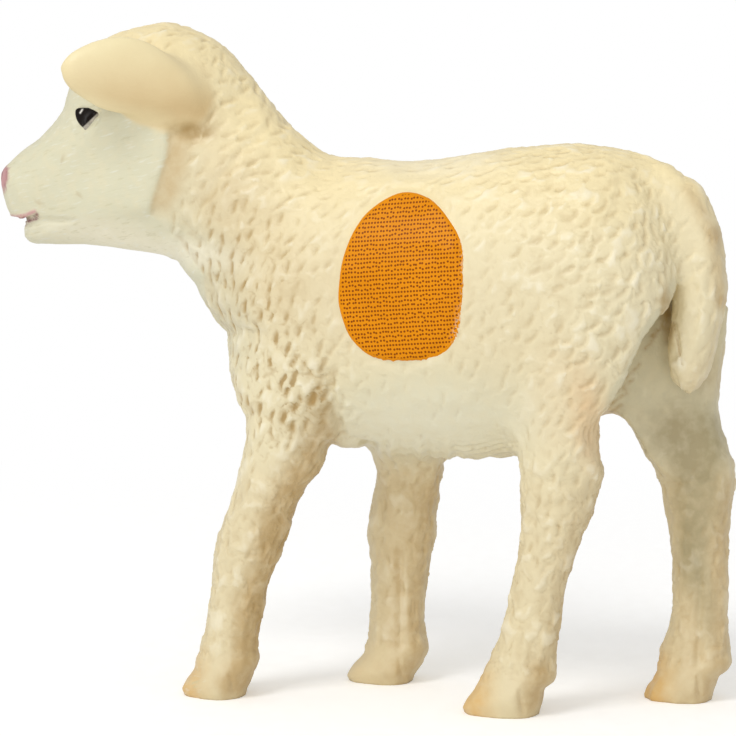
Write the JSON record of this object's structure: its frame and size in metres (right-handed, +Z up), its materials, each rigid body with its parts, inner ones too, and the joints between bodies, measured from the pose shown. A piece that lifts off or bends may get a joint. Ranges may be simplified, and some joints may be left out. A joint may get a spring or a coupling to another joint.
{
  "type": "toy farm animal figure",
  "caption": "Standing toy lamb figure with turned head, woolly coat, hanging tail, leaf-shaped ears and an oval dotted touch patch on its left flank.",
  "frame": {"origin": "on the ground under the middle of the figure's bounding box", "axes": "+Z up, +X from the nose towards the tail, -Y out of the lamb's left side, where the touch patch is"},
  "size_m": [0.062, 0.0206, 0.0555],
  "materials": {
    "fleece": "soft vinyl, painted warm cream, satin-matte, woolly relief",
    "face": "soft vinyl, painted pale cream, satin",
    "ear": "soft vinyl, painted tan cream, satin",
    "leg": "soft vinyl, painted cream with an ochre wash, satin-matte",
    "eye": "black-brown lacquer, high gloss",
    "touch_patch": "orange printed film with a fine brown dot pattern"
  },
  "bodies": {
    "root": {"body": "fleece", "head": "face", "left_ear": "ear", "right_ear": "ear", "left_eye": "eye", "right_eye": "eye", "tail": "fleece", "front_left_leg": "leg", "front_right_leg": "leg", "hind_left_leg": "leg", "hind_right_leg": "leg", "touch_patch": "touch_patch"}
  },
  "joints": []
}
